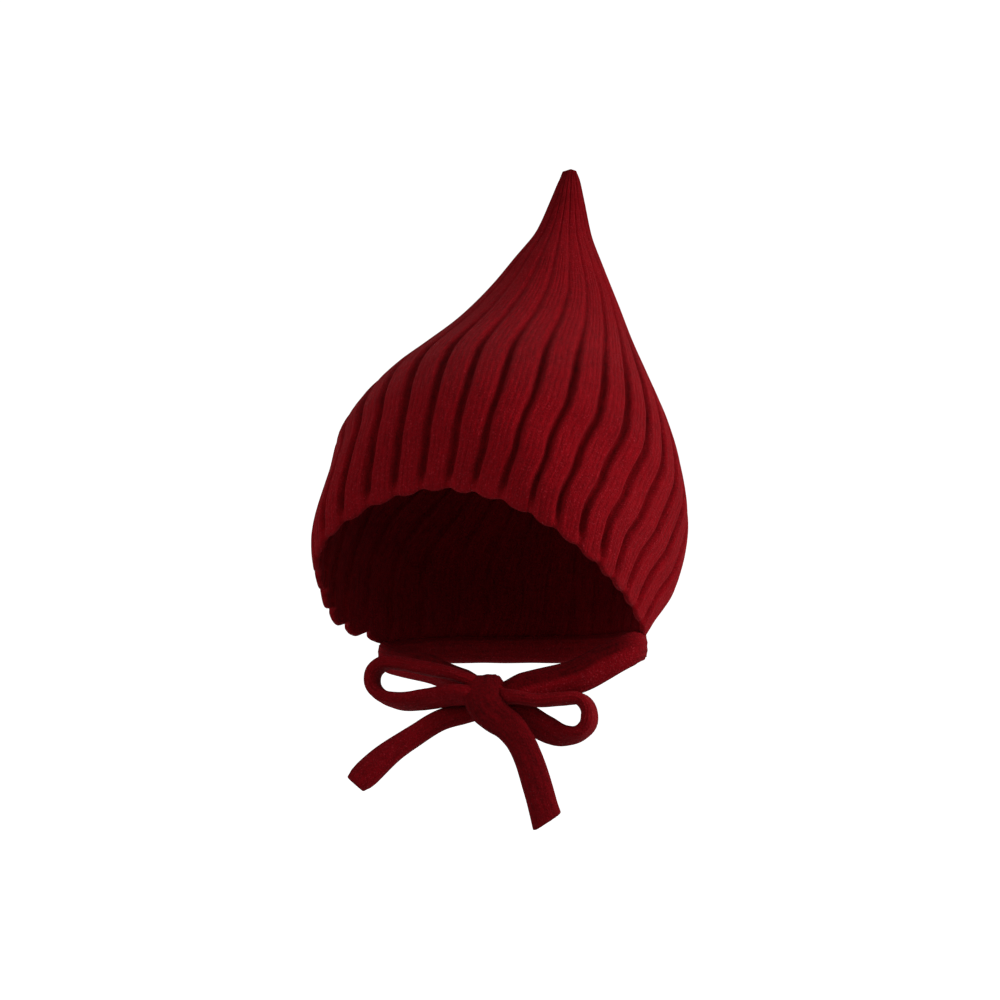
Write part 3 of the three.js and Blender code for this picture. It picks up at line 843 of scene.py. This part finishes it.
def stage_floor():
    """A wide pale floor that curves up into a round wall. It gives the hat no light and no shade."""
    radius = FLOOR_FLAT + WALL_BEND
    bend = [(FLOOR_FLAT + WALL_BEND * math.sin(a), FLOOR_Z + WALL_BEND * (1 - math.cos(a)))
            for a in np.linspace(0, math.pi / 2, BEND_STEPS)]
    profile = [(FLOOR_MIDDLE, FLOOR_Z), *bend, (radius, WALL_TOP)]
    turns = np.linspace(0, 2 * math.pi, FLOOR_SIDES, endpoint=False)
    points = [(r * math.cos(a), r * math.sin(a), z) for r, z in profile for a in turns]
    faces = [tuple(range(FLOOR_SIDES))]
    for inner in range(0, (len(profile) - 1) * FLOOR_SIDES, FLOOR_SIDES):
        outer = inner + FLOOR_SIDES
        for i in range(FLOOR_SIDES):
            j = (i + 1) % FLOOR_SIDES
            faces.append((inner + i, outer + i, outer + j, inner + j))
    mesh = bpy.data.meshes.new("floor")
    mesh.from_pydata(points, [], faces)
    mesh.shade_smooth()
    material = bpy.data.materials.new("floor_paint")
    material.use_nodes = True
    shader = material.node_tree.nodes["Principled BSDF"]
    shader.inputs["Base Color"].default_value = (0.93, 0.93, 0.93, 1)
    shader.inputs["Roughness"].default_value = 0.9
    shader.inputs["Emission Color"].default_value = (1, 1, 1, 1)
    shader.inputs["Emission Strength"].default_value = FLOOR_GLOW
    mesh.materials.append(material)
    floor = bpy.data.objects.new("floor", mesh)
    floor.visible_diffuse = False
    floor.visible_shadow = False
    bpy.context.collection.objects.link(floor)


def direction(azimuth, elevation):
    """The way out from the hat towards a place round it."""
    a, e = math.radians(azimuth), math.radians(elevation)
    return Vector((math.sin(a) * math.cos(e), -math.cos(a) * math.cos(e), math.sin(e)))


def add_camera():
    back = direction(CAMERA_AZIMUTH, CAMERA_ELEVATION)
    right = Vector((math.cos(math.radians(CAMERA_AZIMUTH)), math.sin(math.radians(CAMERA_AZIMUTH)), 0))
    up = back.cross(right)
    roll = math.radians(CAMERA_ROLL)
    rolled_right = right * math.cos(roll) - up * math.sin(roll)
    rolled_up = up * math.cos(roll) + right * math.sin(roll)
    data = bpy.data.cameras.new("camera")
    data.sensor_width = SENSOR
    data.lens = SENSOR * CAMERA_DISTANCE / VIEW_WIDTH
    data.clip_start, data.clip_end = CLIP_NEAR, CLIP_FAR
    camera = bpy.data.objects.new("camera", data)
    aim = back * CAMERA_DISTANCE - rolled_right * PICTURE_MIDDLE[0] - rolled_up * PICTURE_MIDDLE[1]
    aim.normalize()
    aim_right = rolled_up.cross(aim).normalized()
    axes = Matrix((aim_right, aim.cross(aim_right), aim)).transposed()
    camera.matrix_world = Matrix.Translation(back * CAMERA_DISTANCE * MM) @ axes.to_4x4()
    bpy.context.collection.objects.link(camera)
    bpy.context.scene.camera = camera


def add_light(name, azimuth, elevation, distance, size, power):
    """A soft square light, placed round the hat by angles measured as the camera's are."""
    away = direction(azimuth, elevation)
    data = bpy.data.lights.new(name, "AREA")
    data.size = size
    data.energy = power
    light = bpy.data.objects.new(name, data)
    light.location = away * distance + LIGHT_DROP
    light.rotation_euler = (-away).to_track_quat("-Z", "Y").to_euler()
    bpy.context.collection.objects.link(light)


def light_scene():
    world = bpy.data.worlds.new("world")
    world.use_nodes = True
    background = world.node_tree.nodes["Background"]
    background.inputs["Color"].default_value = (1, 1, 1, 1)
    background.inputs["Strength"].default_value = WORLD_LIGHT
    bpy.context.scene.world = world
    bpy.context.scene.view_settings.view_transform = "Standard"
    for name, values in LIGHTS.items():
        add_light(name, *values)


add_camera()
light_scene()
stage_floor()
rib_knit = knit_material("rib_knit", *RIB_COLOURS)
tie_knit = knit_material("tie_knit", *TIE_COLOURS)
for sector, ribs in SECTORS.items():
    bonnet_sector("bonnet_" + sector, *ribs, rib_knit)
tie_pieces(tie_knit)
knot_piece(tie_knit)
